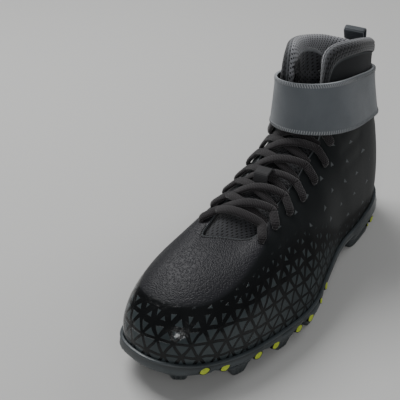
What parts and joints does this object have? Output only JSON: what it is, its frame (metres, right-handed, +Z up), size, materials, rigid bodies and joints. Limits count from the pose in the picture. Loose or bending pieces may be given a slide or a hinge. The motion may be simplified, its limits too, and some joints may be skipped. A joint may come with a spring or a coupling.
{
  "type": "american football cleat",
  "caption": "Left football boot with a studded moulded sole, hollow high-top upper, padded collar and tongue, laces, wrap-round ankle strap and heel pull tab.",
  "frame": {"origin": "centre of the bounding box in plan, on the ground under the stud tips", "axes": "+Z up, the toe points to -Y, +X is the outer side of this left shoe"},
  "size_m": [0.1098, 0.305, 0.1816],
  "materials": {
    "outsole": "satin moulded",
    "upper": "coated synthetic, glossy at the toe",
    "insole": "cloth over foam",
    "collar_lining": "padded mesh",
    "tongue": "padded mesh",
    "ankle_strap": "coated webbing, stitched edges",
    "pull_tab": "ribbed ribbon",
    "lace_keeper": "ribbed ribbon",
    "lace": "woven oval cord"
  },
  "bodies": {
    "root": {"outsole": "outsole", "upper": "upper", "insole": "insole", "collar_lining": "collar_lining", "tongue": "tongue", "ankle_strap": "ankle_strap", "pull_tab": "pull_tab", "lace_keeper": "lace_keeper", "lace_bar": "lace", "lace_crossing_1": "lace", "lace_crossing_2": "lace", "lace_crossing_3": "lace", "lace_crossing_4": "lace", "lace_crossing_5": "lace", "lace_crossing_6": "lace"}
  },
  "joints": []
}
